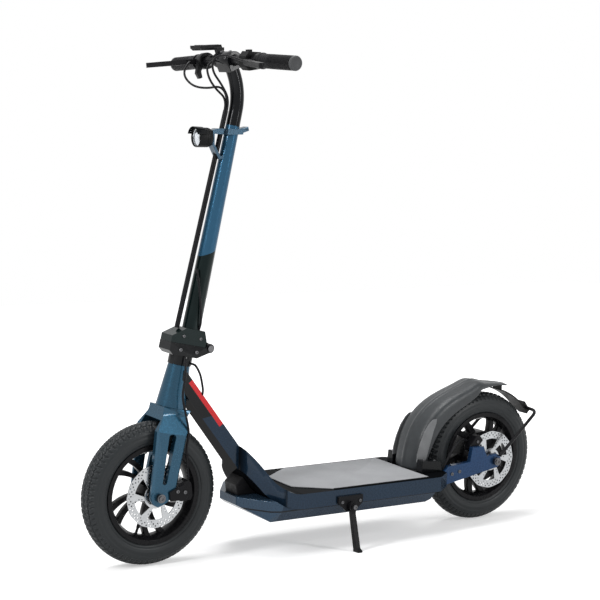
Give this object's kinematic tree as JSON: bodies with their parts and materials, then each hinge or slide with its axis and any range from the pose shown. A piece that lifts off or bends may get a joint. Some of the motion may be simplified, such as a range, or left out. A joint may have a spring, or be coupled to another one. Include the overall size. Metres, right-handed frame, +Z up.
{
  "type": "electric kick scooter",
  "caption": "Folding electric kick scooter with air tyres, cast wheels, a low deck, a curved stem with handlebar, disc brakes and a side stand.",
  "frame": {"origin": "centre of the bounding box's footprint, on the ground, with the scooter leaning 3.5 degrees on its side stand", "axes": "+X forward, +Y to the rider's left, towards the side stand, +Z up"},
  "size_m": [1.214, 0.5118, 1.124],
  "materials": {
    "frame_paint": "gloss slate blue",
    "fork_paint": "gloss metallic blue",
    "black_paint": "gloss black",
    "cast_black": "satin black",
    "steel": "brushed",
    "tyre_rubber": "matte",
    "grip_rubber": "matte",
    "deck_grip": "fine grain",
    "black_plastic": "satin",
    "fender_plastic": "satin",
    "lens": "clear"
  },
  "bodies": {
    "frame": {"battery": "black_plastic", "deck_hull": "frame_paint", "fender_feet": "black_plastic", "fender_panels": "fender_plastic", "frame": "frame_paint", "grip_mat": "deck_grip", "head_tube": "fork_paint", "hugger_stay_left": "cast_black", "hugger_stay_right": "cast_black", "neck_boot": "grip_rubber", "rear_arm_left": "frame_paint", "rear_arm_right": "frame_paint", "rear_axle": "steel", "rear_caliper": "cast_black", "rear_fender": "fender_plastic", "rear_hugger": "black_plastic", "stand_bracket": "cast_black", "tail_block": "black_plastic"},
    "front_wheel": {"front_tyre": "tyre_rubber", "front_rim": "cast_black", "front_rotor": "steel"},
    "rear_wheel": {"rear_tyre": "tyre_rubber", "rear_rim": "cast_black", "rear_rotor": "steel"},
    "fork": {"fork": "fork_paint", "front_axle": "steel", "fold_base": "black_paint", "fold_pin": "steel", "front_caliper": "cast_black"},
    "stem": {"stem": "black_paint", "bar_clamp": "black_paint", "handlebar": "cast_black", "grip_left": "grip_rubber", "grip_right": "grip_rubber", "brake_lever_left": "cast_black", "brake_lever_right": "cast_black", "cable_conduit": "grip_rubber", "lamp_bracket": "fork_paint", "brake_hose_left": "grip_rubber", "brake_hose_right": "grip_rubber", "control_cable": "grip_rubber", "head_lamp": "black_plastic", "lamp_lens": "lens", "display": "black_plastic", "throttle": "black_plastic", "switch_block": "black_plastic"},
    "side_stand": {"side_stand": "cast_black"}
  },
  "joints": [
    {"name": "steering", "type": "hinge", "parent": "frame", "child": "fork", "pos_m": [0.4017, -0.04533, 0.34189], "axis": [-0.2011, 0.0598, 0.9777], "range_deg": [-45, 45]},
    {"name": "stem_fold", "type": "hinge", "parent": "fork", "child": "stem", "pos_m": [0.32093, -0.0377, 0.46657], "axis": [0, -0.9981, 0.061], "range_deg": [0, 98]},
    {"name": "front_wheel_spin", "type": "hinge", "parent": "fork", "child": "front_wheel", "pos_m": [0.45, -0.05665, 0.15676], "axis": [0, 0.9981, -0.061], "continuous": true},
    {"name": "rear_wheel_spin", "type": "hinge", "parent": "frame", "child": "rear_wheel", "pos_m": [-0.45, -0.05665, 0.15676], "axis": [0, 0.9981, -0.061], "continuous": true},
    {"name": "side_stand_fold", "type": "hinge", "parent": "frame", "child": "side_stand", "pos_m": [0.004, 0.07011, 0.09992], "axis": [0, 0.9981, -0.061], "range_deg": [0, 80]}
  ]
}
